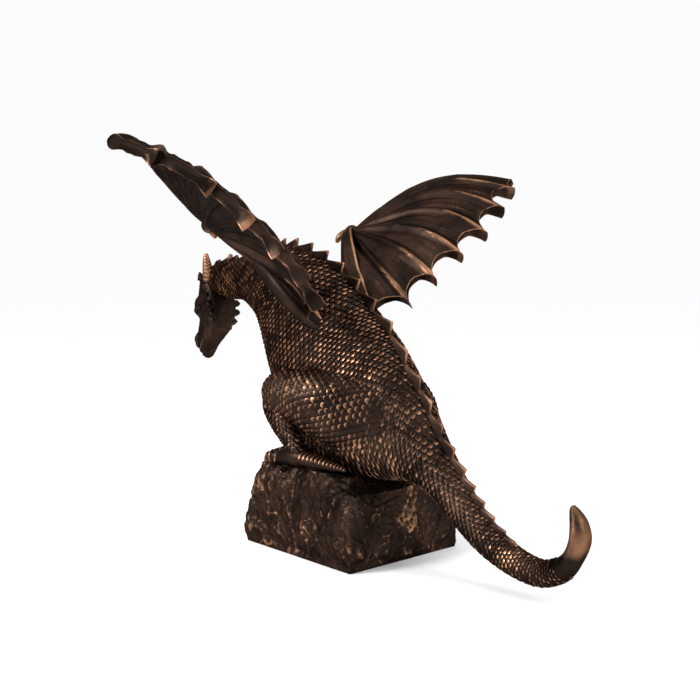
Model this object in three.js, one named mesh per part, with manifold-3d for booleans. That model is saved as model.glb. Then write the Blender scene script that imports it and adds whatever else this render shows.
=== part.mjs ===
// A winged dragon crouching on a rock: a cast bronze figure fixed on its own rock plinth.
// Millimetres, +Z up. The dragon faces -Y, its left side is +X, and the origin is the middle of the rock's underside.
import * as THREE from "three";
import { ParametricGeometry } from "three/addons/geometries/ParametricGeometry.js";
import { mergeVertices } from "three/addons/utils/BufferGeometryUtils.js";
import Module from "manifold-3d";

const wasm = await Module();
wasm.setup();

// ---- driving dimensions ----

const ROCK_WIDTH = 108; // across the dragon, along X
const ROCK_LENGTH = 120; // along the dragon, along Y
const ROCK_HEIGHT = 64; // to the plateau that the feet and belly rest on
const SEAT_GAP = 0.3; // between the casting and the rock under it

// The trunk from the back of the skull to the tip of the tail. Each station is the middle of a section across
// the spine: [y, z, half width, height above the middle towards the spine, depth below it].
const TRUNK = [
  [-188, 208, 9, 10, 9],
  [-172, 206, 12.5, 13.5, 13],
  [-152, 204.5, 15, 17, 16.5],
  [-131, 204.5, 16.5, 18, 17.5],
  [-108, 201, 19.5, 29, 22],
  [-84, 191, 23, 45, 28],
  [-60, 173, 30, 57, 37],
  [-36, 150, 36, 63, 47],
  [-12, 127, 40, 64, 56],
  [14, 108, 41, 61, 54],
  [38, 96, 38, 52, 46],
  [60, 88, 31, 38, 32],
  [80, 79, 23, 21, 21],
  [96, 68, 16, 14.5, 15],
  [110, 55, 12.5, 12, 12],
  [124, 42, 11.5, 11, 11],
  [138, 31.5, 10.5, 10.3, 10.3],
  [153, 24, 9.8, 9.6, 9.6],
  [169, 19, 9, 9, 9],
  [184, 18, 8.5, 8.5, 8.5],
  [197, 23.5, 8.5, 8, 8],
  [205, 33, 9, 6, 6.5],
  [209, 44, 9.2, 5, 7],
  [208.5, 54, 7.5, 4.4, 6],
  [206, 61, 4.6, 3.4, 4],
  [204, 66, 1.6, 1.4, 1.6],
];
const TRUNK_RINGS = 46;
const TRUNK_SIDES = 16;
const BACK_NARROWING = 0.18; // how much the back is narrower than the belly

// ---- solids ----

// A closed three.js geometry as a manifold solid.
function solidOf(geometry) {
  const bare = geometry.index ? geometry.toNonIndexed() : geometry.clone();
  for (const name of Object.keys(bare.attributes)) if (name !== "position") bare.deleteAttribute(name);
  const merged = mergeVertices(bare, 1e-3);
  const index = merged.index.array;
  const kept = [];
  for (let i = 0; i < index.length; i += 3) {
    const [a, b, c] = [index[i], index[i + 1], index[i + 2]];
    if (a !== b && b !== c && a !== c) kept.push(a, b, c);
  }
  const mesh = new wasm.Mesh({
    numProp: 3,
    vertProperties: new Float32Array(merged.attributes.position.array),
    triVerts: new Uint32Array(kept),
  });
  const solid = new wasm.Manifold(mesh);
  if (solid.volume() > 0) return solid;
  for (let i = 0; i < kept.length; i += 3) [kept[i + 1], kept[i + 2]] = [kept[i + 2], kept[i + 1]];
  return new wasm.Manifold(
    new wasm.Mesh({
      numProp: 3,
      vertProperties: new Float32Array(merged.attributes.position.array),
      triVerts: new Uint32Array(kept),
    }),
  );
}

// A manifold solid as a three.js geometry.
function geometryOf(solid) {
  const mesh = solid.getMesh();
  const flat = new Float32Array(mesh.numVert * 3);
  for (let i = 0; i < mesh.numVert; i++)
    flat.set(mesh.vertProperties.subarray(i * mesh.numProp, i * mesh.numProp + 3), i * 3);
  const geometry = new THREE.BufferGeometry()
    .setAttribute("position", new THREE.BufferAttribute(flat, 3))
    .setIndex(new THREE.BufferAttribute(mesh.triVerts, 1));
  geometry.computeVertexNormals();
  return geometry;
}

const join = (solids) => solids.reduce((whole, solid) => whole.add(solid));
const mirrored = (solid) => solid.mirror([1, 0, 0]);
const smooth = (low, high, value) => THREE.MathUtils.smoothstep(value, low, high);

// A smooth run through rows of numbers: returns a function of 0 to 1 that gives one row.
function throughRows(rows) {
  return (share) => {
    const at = THREE.MathUtils.clamp(share, 0, 1) * (rows.length - 1);
    const i = Math.min(Math.floor(at), rows.length - 2);
    const t = at - i;
    return rows[0].map((_, column) => {
      const one = rows[i][column];
      const two = rows[i + 1][column];
      const before = i > 0 ? rows[i - 1][column] : 2 * one - two;
      const after = i + 2 < rows.length ? rows[i + 2][column] : 2 * two - one;
      const slopeOne = (two - before) / 2;
      const slopeTwo = (after - one) / 2;
      const bend = 2 * one - 2 * two + slopeOne + slopeTwo;
      return ((bend * t - (3 * one - 3 * two + 2 * slopeOne + slopeTwo)) * t + slopeOne) * t + one;
    });
  };
}

// A closed form swept along rows of [x, y, z, half width, half height], rounded off at both ends.
// The width lies across the sweep, as near to the X axis as it can.
function limb(rows, rings, sides, endRound = 0.06) {
  const row = throughRows(rows);
  const point = (u) => new THREE.Vector3(...row(u).slice(0, 3));
  return new ParametricGeometry(
    (u, v, target) => {
      const along = point(Math.min(u + 0.01, 1)).sub(point(Math.max(u - 0.01, 0))).normalize();
      const across = new THREE.Vector3(1, 0, 0).addScaledVector(along, -along.x).normalize();
      const top = along.clone().cross(across).normalize();
      const [x, y, z, wide, high] = row(u);
      const near = Math.min(u, 1 - u) / endRound;
      const round = near >= 1 ? 1 : Math.sqrt(Math.max(0, 1 - (1 - near) ** 2));
      const angle = v * 2 * Math.PI;
      target.set(x, y, z);
      target.addScaledVector(across, wide * round * Math.sin(angle));
      target.addScaledVector(top, high * round * Math.cos(angle));
    },
    rings,
    sides,
  );
}

// ---- trunk: neck, body and tail ----

// The section at a share of a form swept in the middle plane: its middle, its sizes and the way out of its back.
function middleFrame(row, share) {
  const [y, z, wide, above, below] = row(share);
  const ahead = row(Math.min(share + 0.004, 1));
  const behind = row(Math.max(share - 0.004, 0));
  const run = new THREE.Vector2(ahead[0] - behind[0], ahead[1] - behind[1]).normalize();
  return { y, z, wide, above, below, backY: -run.y, backZ: run.x };
}

// A closed form swept in the middle plane along rows of [y, z, half width, above, below]. The side that looks
// out of its back is narrower by the share given, or wider where that is negative.
function middleForm(row, rings, sides, narrowing, endRound) {
  return new ParametricGeometry(
    (u, v, target) => {
      const f = middleFrame(row, u);
      const near = Math.min(u, 1 - u) / endRound;
      const round = near >= 1 ? 1 : Math.sqrt(Math.max(0, 1 - (1 - near) ** 2));
      const angle = v * 2 * Math.PI;
      const up = Math.cos(angle);
      const reach = (up > 0 ? f.above : f.below) * up * round;
      const x = f.wide * round * Math.sin(angle) * (1 - narrowing * up);
      target.set(x, f.y + f.backY * reach, f.z + f.backZ * reach);
    },
    rings,
    sides,
  );
}

const trunkRow = throughRows(TRUNK);
const trunkFrame = (share) => middleFrame(trunkRow, share);

// ---- crest: one row of backward-leaning teeth along the spine ----

const CREST_THICKNESS = 3.6;
const CREST_FROM = 0.05; // shares of the trunk
const CREST_TO = 0.7;
const CREST_TEETH = 26;

// Tooth height at a share of the trunk: low on the neck, tall between the wings, fading along the tail.
const crestHeight = (share) => 3.5 + 4 * smooth(0.15, 0.3, share) - 5.5 * smooth(0.48, 0.7, share);

function crest() {
  const outline = new THREE.Shape();
  const at = (share, lift) => {
    const f = trunkFrame(share);
    return [f.y + f.backY * (f.above + lift), f.z + f.backZ * (f.above + lift)];
  };
  const pitch = (CREST_TO - CREST_FROM) / CREST_TEETH;
  outline.moveTo(...at(CREST_FROM, -3));
  for (let tooth = 0; tooth < CREST_TEETH; tooth++) {
    const start = CREST_FROM + tooth * pitch;
    const height = crestHeight(start);
    outline.lineTo(...at(start, height * 0.25));
    outline.lineTo(...at(start + 0.62 * pitch, height * 0.92));
    outline.lineTo(...at(start + 0.86 * pitch, height));
  }
  outline.lineTo(...at(CREST_TO, 0));
  outline.lineTo(...at(CREST_TO, -3));
  for (let step = CREST_TEETH - 1; step > 0; step--) outline.lineTo(...at(CREST_FROM + step * pitch, -3));
  const geometry = new THREE.ExtrudeGeometry(outline, { depth: CREST_THICKNESS, bevelEnabled: false });
  // The outline is drawn as (y, z) in the sheet's plane, so the sheet is turned to stand along the spine.
  const turn = new THREE.Matrix4().makeBasis(
    new THREE.Vector3(0, 1, 0),
    new THREE.Vector3(0, 0, 1),
    new THREE.Vector3(1, 0, 0),
  );
  return geometry.applyMatrix4(turn).translate(-CREST_THICKNESS / 2, 0, 0);
}

// ---- head ----

// The skull and snout hang down from the neck: [y, z, half width, reach to the rear, reach to the front].
const SKULL = [
  [-189, 215, 4, 5, 6],
  [-187, 209, 9.5, 8, 14],
  [-183, 199, 12, 9, 20],
  [-179, 187, 13.5, 10, 27],
  [-177, 176, 13.5, 9.5, 30.5],
  [-178, 166, 12, 9, 31],
  [-182, 158, 10, 6.5, 28],
  [-189, 150, 8, 5.5, 21.5],
  [-193, 144, 7, 4.5, 18.5],
  [-195, 138, 5.5, 4, 12.5],
  [-197, 133, 3, 3, 6],
];
const CHEEK_WIDENING = 0.3; // how much wider the rear of the skull is than its middle
const HORN = [
  [9, -179.5, 203, 5.5, 6.2],
  [11, -178, 213, 4.6, 4.8],
  [12.5, -177.4, 221.5, 3.4, 3.4],
  [13.3, -177, 228, 1.6, 1.6],
];
const BROW = [
  [10, -184, 190, 2.5, 3],
  [12, -192, 184, 3.4, 3.6],
  [11, -200, 179, 3.2, 3.4],
  [8.5, -205, 174, 1.8, 2],
];
const BROW_SPIKE = [
  [7, -195, 204, 3.2, 3.4],
  [7.6, -195.5, 208, 2.2, 2.4],
  [8, -196, 212, 0.8, 0.8],
];
const NOSTRIL = [
  [3.5, -204, 154, 2, 2.2],
  [4.5, -208.5, 148, 3, 2.8],
  [3.5, -205, 141, 1.6, 1.6],
];
// The frill of short spikes along the rear edge of each cheek: the tip of each in x, y, z, from the horn down.
const FRILL_TIPS = [
  [15.5, -178, 199],
  [17.5, -172, 191],
  [18.5, -167, 183],
  [17, -165, 175],
  [14.5, -166, 167],
  [12, -171, 161],
];
const FRILL_ROOT = [-9, -11, 0]; // from a tip back into the cheek

function frillSpike(tip) {
  const root = tip.map((value, i) => value + FRILL_ROOT[i]);
  const middle = root.map((value, i) => (value + 2 * tip[i]) / 3);
  return limb([[...root, 3.6, 4.4], [...middle, 2.6, 3.4], [...tip, 0.7, 0.9]], 4, 6, 0.02);
}

function headSide() {
  return join([
    solidOf(limb(HORN, 6, 8, 0.04)),
    solidOf(limb(BROW, 6, 8, 0.1)),
    solidOf(limb(BROW_SPIKE, 4, 6, 0.04)),
    solidOf(limb(NOSTRIL, 5, 7, 0.2)),
    ...FRILL_TIPS.map((tip) => solidOf(frillSpike(tip))),
  ]);
}

// ---- hind leg, left side ----

const THIGH = [
  [10, 76, 92, 8, 12],
  [15, 63, 95, 12, 18],
  [23, 46, 101, 16, 25],
  [31, 26, 107, 18.5, 27],
  [37, 6, 113.5, 18, 24],
  [40, -16, 117, 15.5, 19.5],
  [41.5, -35, 118, 12.5, 15.5],
  [41.5, -51, 116, 8, 9.5],
];
const SHIN = [
  [41.5, -43, 117, 8, 9],
  [42, -38, 107, 9.5, 11],
  [42, -28, 95, 9.5, 10.5],
  [41, -19, 84, 8.5, 9],
  [41, -13, 75, 8, 8.5],
  [41, -11, 69, 7, 7],
];
const FOOT = [
  [41, 0, 71, 6, 5],
  [41, -10, 71, 9, 7.5],
  [41, -21, 70.5, 10, 7],
  [41, -31, 69, 10, 5.5],
  [41, -37, 68, 8, 4],
];
const SPUR = [
  [42, -22, 70, 7, 5.5],
  [42.5, -4, 70.5, 6.5, 5.5],
  [42.5, 14, 70, 5.2, 4.6],
  [42, 30, 69, 3.4, 3],
  [41.5, 42, 68, 1.2, 1.2],
];
const TOE_SPREAD = 8; // between neighbouring front toes
const TOE_ENDS = [-51, -48, -43]; // how far forward each toe reaches, from the inner one out

function frontToe(end, number) {
  const x = 41 + (number - 1) * TOE_SPREAD;
  return limb(
    [
      [41 + (number - 1) * 5, -30, 68.5, 4, 4],
      [x, end + 10, 69.5, 4, 4.4],
      [x, end + 4, 68, 3.4, 4],
      [x, end, 64.5, 1.4, 1.6],
    ],
    5,
    6,
    0.04,
  );
}

function leg() {
  return join([
    solidOf(limb(THIGH, 12, 14, 0.1)),
    solidOf(limb(SHIN, 6, 10, 0.1)),
    solidOf(limb(FOOT, 6, 10, 0.12)),
    solidOf(limb(SPUR, 8, 8, 0.04)),
    ...TOE_ENDS.map((end, number) => solidOf(frontToe(end, number))),
  ]);
}

// ---- wing, left side ----

const WRIST = new THREE.Vector3(74, -80, 246);
const WING_FACE = new THREE.Vector3(-0.481, 0.293, 0.826).normalize(); // out of the wing's upper face
// Finger tips from the leading edge inwards, how far each finger sweeps forward of the straight line in the
// wing's plane, and how far it arches above it: [x, y, z, sweep, arch]. The last is the wing's root on the back.
const FINGERS = [
  [200, -3, 290, 24, 12],
  [177, 15, 279, 24, 12],
  [145, 30, 260, 23, 12],
  [119, 34, 239, 15, 13],
  [93, 31, 221, 6, 12],
  [67, 27, 202, 1, 10],
  [47, 19, 184, -4, 7],
  [28, -3, 170, -11, 5],
];
const ARCH_DROOP = 1.4; // over 1, the arch is highest nearer to the tip
const SCALLOPS = [0.035, 0.1, 0.1, 0.11, 0.12, 0.12, 0.12]; // how far the edge cuts in between fingers
const PANEL_STOPS = [0, 0.1, 0.36, 0.64, 0.9]; // where the columns of a panel stand between its fingers
const REACH_STOPS = [0.05, 0.3, 0.55, 0.76, 0.91, 1];
const RIB_HEIGHT = 1.2;
const HALF_PLATE = 3.4; // half the thickness of the wing's plate at its middle
const EDGE_THICKENING = 1; // added to it along the trailing edge between the fingers
const TIP_THINNING = 0.5;

function fingerPoint(finger, reach) {
  const [x, y, z, sweep, arch] = FINGERS[finger];
  const chord = new THREE.Vector3(x, y, z).sub(WRIST);
  const forward = chord.clone().cross(WING_FACE).normalize();
  return WRIST.clone()
    .addScaledVector(chord, reach)
    .addScaledVector(forward, sweep * Math.sin(Math.PI * reach))
    .addScaledVector(WING_FACE, arch * Math.sin(Math.PI * reach ** ARCH_DROOP));
}

function wingPoint(column, reach) {
  const panel = Math.min(Math.floor(column), FINGERS.length - 2);
  const between = column - panel;
  const cut = 1 - SCALLOPS[panel] * Math.sqrt(Math.max(0, 4 * between * (1 - between)));
  const one = fingerPoint(panel, reach * cut);
  return one.lerp(fingerPoint(panel + 1, reach * cut), between);
}

function wingNormal(column, reach) {
  const low = Math.max(column - 0.5, 0);
  const high = Math.min(column + 0.5, FINGERS.length - 1);
  const across = wingPoint(high, Math.min(reach, 0.9)).sub(wingPoint(low, Math.min(reach, 0.9)));
  const along = wingPoint(column, reach).sub(wingPoint(column, reach * 0.8));
  return along.cross(across).normalize();
}

// Half the plate's thickness: ridged at each finger, thicker along the scalloped edge and thinned at the tips.
function halfThickness(column, reach) {
  const panel = Math.min(Math.floor(column), FINGERS.length - 2);
  const between = column - panel;
  const rib = between < 0.01 || between > 0.99 ? RIB_HEIGHT : 0;
  const hollow = Math.sqrt(Math.max(0, 4 * between * (1 - between)));
  const edge = smooth(0.7, 1, reach);
  const outer = 1 - smooth(0, 0.8, column);
  return (HALF_PLATE + rib + edge * EDGE_THICKENING) * (1 - TIP_THINNING * edge * (1 - hollow) * (1 - outer));
}

function wing() {
  const columns = [];
  for (let panel = 0; panel < FINGERS.length - 1; panel++)
    for (const stop of PANEL_STOPS) columns.push(panel + stop);
  columns.push(FINGERS.length - 1);
  const rows = REACH_STOPS.length;
  // The sheet is a closed skin: the upper face on one half of v, the lower face on the other.
  const sheet = [];
  for (const column of columns) {
    const ring = [];
    for (const face of [1, -1]) {
      const order = face > 0 ? REACH_STOPS : [...REACH_STOPS].reverse();
      for (const reach of order)
        ring.push(
          wingPoint(column, reach).addScaledVector(wingNormal(column, reach), face * halfThickness(column, reach)),
        );
    }
    sheet.push(ring);
  }
  const around = 2 * rows;
  const positions = [];
  const index = [];
  sheet.forEach((ring) => ring.forEach((p) => positions.push(p.x, p.y, p.z)));
  for (let c = 0; c < columns.length - 1; c++)
    for (let k = 0; k < around; k++) {
      const next = (k + 1) % around;
      const [a, b, d, e] = [c * around + k, c * around + next, (c + 1) * around + k, (c + 1) * around + next];
      index.push(a, b, e, a, e, d);
    }
  const last = (columns.length - 1) * around;
  for (let k = 0; k < rows - 1; k++) {
    const [a, b, d, e] = [k, k + 1, around - 1 - k, around - 2 - k];
    index.push(a, d, e, a, e, b);
    index.push(last + a, last + e, last + d, last + a, last + b, last + e);
  }
  const geometry = new THREE.BufferGeometry();
  geometry.setAttribute("position", new THREE.Float32BufferAttribute(positions, 3));
  geometry.setIndex(index);
  const knuckle = new THREE.SphereGeometry(6, 12, 8).translate(...WRIST);
  const thumb = limb(
    [
      [76, -80, 246, 4.5, 4.5],
      [70, -84, 244.5, 4, 4],
      [65.5, -87, 241, 3.2, 3.2],
      [63, -88, 236.5, 1.2, 1.2],
    ],
    6,
    8,
    0.04,
  );
  const arm = limb(
    [
      [75, -81, 246, 4.5, 5],
      [60, -70, 241, 5, 5.5],
      [49, -57, 228, 6, 7],
      [42, -45, 209, 7, 9],
      [36, -28, 191, 8, 9],
      [28, -13, 175, 7, 7],
      [20, -4, 164, 4, 4],
    ],
    10,
    10,
    0.06,
  );
  return join([geometry, knuckle, thumb, arm].map(solidOf));
}

// ---- rock plinth ----

// Corners of the rock's outline at four heights, as shares of the half sizes: front left, front right, rear right, rear left.
const ROCK_LAYERS = [
  { z: 0, grow: 1.0, corners: [[1, -1], [-1, -1], [-1, 1], [1, 1]] },
  { z: 12, grow: 1.02, corners: [[1, -1.03], [-1.02, -1], [-1, 1], [1, 1.01]] },
  { z: 34, grow: 0.99, corners: [[0.97, -0.96], [-0.98, -0.97], [-0.96, 0.98], [1, 0.98]] },
  { z: 52, grow: 0.97, corners: [[0.95, -0.9], [-0.95, -0.92], [-0.94, 0.95], [1, 0.97]] },
  { z: 64, grow: 0.86, corners: [[0.95, -0.95], [-0.95, -0.98], [-0.9, 0.86], [0.86, 0.86]] },
];
const ROCK_SIDES = 40;

function rock() {
  const rings = ROCK_LAYERS.map(({ z, grow, corners }, layer) => {
    const ring = [];
    for (let k = 0; k < ROCK_SIDES; k++) {
      const at = (k / ROCK_SIDES) * 4;
      const side = Math.floor(at);
      const between = at - side;
      const [from, to] = [corners[side], corners[(side + 1) % 4]];
      const rough = z === 0 ? 0 : 1.6 * Math.sin(k * 2.4 + layer * 1.7) + 1.1 * Math.sin(k * 5.1 + layer * 3.9);
      const bulge = 1 + rough / ROCK_WIDTH;
      ring.push([
        (THREE.MathUtils.lerp(from[0], to[0], between) * grow * bulge * ROCK_WIDTH) / 2,
        (THREE.MathUtils.lerp(from[1], to[1], between) * grow * bulge * ROCK_LENGTH) / 2,
        z,
      ]);
    }
    return ring;
  });
  const positions = rings.flat(2);
  const index = [];
  for (let layer = 0; layer < rings.length - 1; layer++)
    for (let k = 0; k < ROCK_SIDES; k++) {
      const next = (k + 1) % ROCK_SIDES;
      const [a, b] = [layer * ROCK_SIDES + k, layer * ROCK_SIDES + next];
      index.push(a, b, b + ROCK_SIDES, a, b + ROCK_SIDES, a + ROCK_SIDES);
    }
  const top = (rings.length - 1) * ROCK_SIDES;
  const base = positions.length / 3;
  positions.push(0, 0, 0, 0, 0, ROCK_HEIGHT);
  for (let k = 0; k < ROCK_SIDES; k++) {
    const next = (k + 1) % ROCK_SIDES;
    index.push(base, next, k, base + 1, top + k, top + next);
  }
  const geometry = new THREE.BufferGeometry();
  geometry.setAttribute("position", new THREE.Float32BufferAttribute(positions, 3));
  geometry.setIndex(index);
  return solidOf(geometry);
}

// ---- putting it together ----

const skull = solidOf(middleForm(throughRows(SKULL), 14, 14, -CHEEK_WIDENING, 0.06));
const leftHead = headSide();
const head = join([skull, leftHead, mirrored(leftHead)]);
const leftLeg = leg();
const leftWing = wing();
const figure = join([
  solidOf(middleForm(trunkRow, TRUNK_RINGS, TRUNK_SIDES, BACK_NARROWING, 0.012)),
  solidOf(crest()),
  head,
  leftLeg,
  mirrored(leftLeg),
  leftWing,
  mirrored(leftWing),
]);

// The belly and the feet are flat where they rest on the rock.
const rockBlock = solidOf(
  new THREE.BoxGeometry(ROCK_WIDTH + 20, ROCK_LENGTH, ROCK_HEIGHT + SEAT_GAP).translate(0, 0, (ROCK_HEIGHT + SEAT_GAP) / 2),
);
const seated = figure.subtract(rockBlock);

const bronze = new THREE.MeshStandardMaterial({ color: 0x3a2a20, roughness: 0.42, metalness: 0.85 });
const rockBronze = new THREE.MeshStandardMaterial({ color: 0x38291f, roughness: 0.55, metalness: 0.8 });

const statue = new THREE.Group();
const dragonMesh = new THREE.Mesh(geometryOf(seated), bronze);
dragonMesh.name = "dragon";
statue.add(dragonMesh);
const rockMesh = new THREE.Mesh(geometryOf(rock()), rockBronze);
rockMesh.name = "rock_plinth";
statue.add(rockMesh);

export default statue;
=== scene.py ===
# The looks of a cast bronze dragon on its rock plinth: dark antique patina over every scale, rubbed
# through to warm copper where a hand or a cloth touches it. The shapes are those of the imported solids.
import math

import bmesh
import bpy
import numpy as np
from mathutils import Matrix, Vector, noise
from mathutils.bvhtree import BVHTree


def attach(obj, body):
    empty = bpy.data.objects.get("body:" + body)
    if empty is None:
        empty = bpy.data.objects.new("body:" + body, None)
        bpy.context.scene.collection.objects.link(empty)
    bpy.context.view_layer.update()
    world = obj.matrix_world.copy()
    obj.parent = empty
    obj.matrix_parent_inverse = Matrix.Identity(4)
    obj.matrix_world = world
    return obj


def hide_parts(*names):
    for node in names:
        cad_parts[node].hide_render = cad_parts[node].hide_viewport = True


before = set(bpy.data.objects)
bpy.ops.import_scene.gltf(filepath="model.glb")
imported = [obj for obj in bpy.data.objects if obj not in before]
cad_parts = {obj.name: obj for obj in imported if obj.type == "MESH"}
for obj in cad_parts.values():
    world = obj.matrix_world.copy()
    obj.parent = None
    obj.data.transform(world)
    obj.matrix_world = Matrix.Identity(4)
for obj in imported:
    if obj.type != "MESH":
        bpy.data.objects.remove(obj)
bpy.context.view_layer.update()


# ---- Studio ----
# A white sweep with one large soft light above and to the left, a second low one behind the camera,
# and a long lens at the height of the wings.

CAMERA_PLACE = (0.4888, 0.5442, 0.2016)
CAMERA_HEADING = math.radians(138.1)  # clockwise from +Y, seen from above, of the line of sight reversed
CAMERA_PITCH = math.radians(4.0)
CAMERA_LENS = 49.2

camera = bpy.data.objects.new("camera", bpy.data.cameras.new("camera"))
camera.data.lens = CAMERA_LENS
camera.data.sensor_width = 36.0
camera.data.clip_start = 0.01
camera.location = CAMERA_PLACE
sight = Vector((-0.668, -0.744, -math.tan(CAMERA_PITCH)))
camera.rotation_euler = sight.to_track_quat("-Z", "Y").to_euler()
bpy.context.collection.objects.link(camera)
bpy.context.scene.camera = camera
bpy.context.scene.view_settings.view_transform = "Standard"


def soft_light(name, place, aim, size, power, tint=(1.0, 1.0, 1.0)):
    lamp = bpy.data.lights.new(name, "AREA")
    lamp.shape = "RECTANGLE"
    lamp.size, lamp.size_y = size
    lamp.energy = power
    lamp.color = tint
    holder = bpy.data.objects.new(name, lamp)
    holder.location = place
    holder.rotation_euler = (Vector(aim) - Vector(place)).to_track_quat("-Z", "Y").to_euler()
    bpy.context.collection.objects.link(holder)


soft_light("top_light", (-0.1, 0.25, 1.25), (0.0, 0.0, 0.12), (0.7, 0.5), 2.5)
soft_light("left_light", (1.1, -0.3, 0.75), (0.0, -0.02, 0.15), (0.3, 0.45), 15.0)
soft_light("right_light", (-0.35, 1.1, 0.6), (0.0, 0.05, 0.12), (0.35, 0.6), 5.0)

world = bpy.data.worlds.new("studio")
world.use_nodes = True
bpy.context.scene.world = world
air = world.node_tree
air.nodes["Background"].inputs["Color"].default_value = (0.98, 0.99, 1.0, 1.0)
air.nodes["Background"].inputs["Strength"].default_value = 0.78
seen = air.nodes.new("ShaderNodeBackground")
seen.inputs["Color"].default_value = (0.97, 0.97, 0.97, 1.0)
path = air.nodes.new("ShaderNodeLightPath")
choose = air.nodes.new("ShaderNodeMixShader")
air.links.new(path.outputs["Is Camera Ray"], choose.inputs["Fac"])
air.links.new(air.nodes["Background"].outputs["Background"], choose.inputs[1])
air.links.new(seen.outputs["Background"], choose.inputs[2])
air.links.new(choose.outputs["Shader"], air.nodes["World Output"].inputs["Surface"])

sun = bpy.data.lights.new("high_light", "SUN")
sun.energy = 0.85
sun.angle = math.radians(50)
sun_holder = bpy.data.objects.new("high_light", sun)
sun_holder.rotation_euler = (math.radians(28), math.radians(8), 0)
bpy.context.collection.objects.link(sun_holder)

sweep_mesh = bpy.data.meshes.new("sweep")
sweep_form = bmesh.new()
bmesh.ops.create_grid(sweep_form, x_segments=1, y_segments=1, size=30.0)
sweep_form.to_mesh(sweep_mesh)
sweep = bpy.data.objects.new("sweep", sweep_mesh)
bpy.context.collection.objects.link(sweep)
paper = bpy.data.materials.new("white_paper")
paper.use_nodes = True
paper.node_tree.nodes["Principled BSDF"].inputs["Base Color"].default_value = (0.97, 0.97, 0.97, 1.0)
paper.node_tree.nodes["Principled BSDF"].inputs["Roughness"].default_value = 1.0
paper.node_tree.nodes["Principled BSDF"].inputs["Specular IOR Level"].default_value = 0.0
sweep_mesh.materials.append(paper)


# ---- Bronze ----
# The whole statue has one finish: dark brown patina, blotched a little, that is rubbed through to
# copper on what stands proud. How far a spot is rubbed comes with the mesh, as its "rub" attribute.

MM = 0.001
PATINA_DARK = (0.014, 0.009, 0.007, 1.0)
PATINA_LIGHT = (0.042, 0.025, 0.018, 1.0)
COPPER = (0.52, 0.26, 0.145, 1.0)


def bronze(name, copper=COPPER, rub_from=0.45, rub_to=1.15, grain=0.3, rough=(0.4, 0.3)):
    material = bpy.data.materials.new(name)
    material.use_nodes = True
    tree = material.node_tree
    shader = tree.nodes["Principled BSDF"]
    shader.inputs["Metallic"].default_value = 0.92
    shader.inputs["Specular Tint"].default_value = (0.3, 0.24, 0.2, 1.0)
    place = tree.nodes.new("ShaderNodeTexCoord")

    def clouds(scale, detail):
        cloud = tree.nodes.new("ShaderNodeTexNoise")
        cloud.inputs["Scale"].default_value = scale
        cloud.inputs["Detail"].default_value = detail
        tree.links.new(place.outputs["Object"], cloud.inputs["Vector"])
        return cloud.outputs["Fac"]

    def spread(value, low, high, to_low, to_high):
        ranged = tree.nodes.new("ShaderNodeMapRange")
        tree.links.new(value, ranged.inputs["Value"])
        for key, number in zip(("From Min", "From Max", "To Min", "To Max"), (low, high, to_low, to_high)):
            ranged.inputs[key].default_value = number
        return ranged.outputs["Result"]

    def blend(amount, one, two):
        mix = tree.nodes.new("ShaderNodeMix")
        mix.data_type = "RGBA"
        tree.links.new(amount, mix.inputs["Factor"])
        for socket, colour in (("A", one), ("B", two)):
            if isinstance(colour, tuple):
                mix.inputs[socket].default_value = colour
            else:
                tree.links.new(colour, mix.inputs[socket])
        return mix.outputs["Result"]

    def maths(operation, one, two):
        step = tree.nodes.new("ShaderNodeMath")
        step.operation = operation
        for number, value in enumerate((one, two)):
            if isinstance(value, float):
                step.inputs[number].default_value = value
            else:
                tree.links.new(value, step.inputs[number])
        return step.outputs["Value"]

    rub = tree.nodes.new("ShaderNodeAttribute")
    rub.attribute_name = "rub"
    uneven = maths("MULTIPLY_ADD", clouds(55.0, 3.0), 0.9)
    uneven.node.inputs[2].default_value = -0.45
    worn = spread(maths("ADD", rub.outputs["Fac"], uneven), rub_from, rub_to, 0.0, 1.0)
    patina = blend(spread(clouds(38.0, 5.0), 0.35, 0.7, 0.0, 1.0), PATINA_DARK, PATINA_LIGHT)
    tree.links.new(blend(worn, patina, copper), shader.inputs["Base Color"])
    tree.links.new(spread(worn, 0.0, 1.0, *rough), shader.inputs["Roughness"])
    cast = tree.nodes.new("ShaderNodeBump")
    cast.inputs["Strength"].default_value = grain
    cast.inputs["Distance"].default_value = 0.0004
    tree.links.new(clouds(1100.0, 3.0), cast.inputs["Height"])
    tree.links.new(cast.outputs["Normal"], shader.inputs["Normal"])
    return material


hide_bronze = bronze("hide_bronze")


def piece(name, mesh, material, node, sharp=40.0):
    """Shows a finished mesh as a piece of the statue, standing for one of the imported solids."""
    mesh.materials.clear()
    mesh.materials.append(material)
    mesh.shade_smooth()
    mesh.set_sharp_from_angle(angle=math.radians(sharp))
    shown = bpy.data.objects.new(name, mesh)
    bpy.context.collection.objects.link(shown)
    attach(shown, "root")
    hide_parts(node)
    return shown


def set_rub(mesh, values):
    layer = mesh.attributes.new("rub", "FLOAT", "POINT")
    layer.data.foreach_set("value", np.asarray(values, dtype=np.float32))


# ---- Body form ----
# The smooth bronze under the scales: neck, trunk and tail in one sweep along the middle plane, with the
# thighs and shins run into it as a modeller runs clay, so that hip and flank have no seam.

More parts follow.
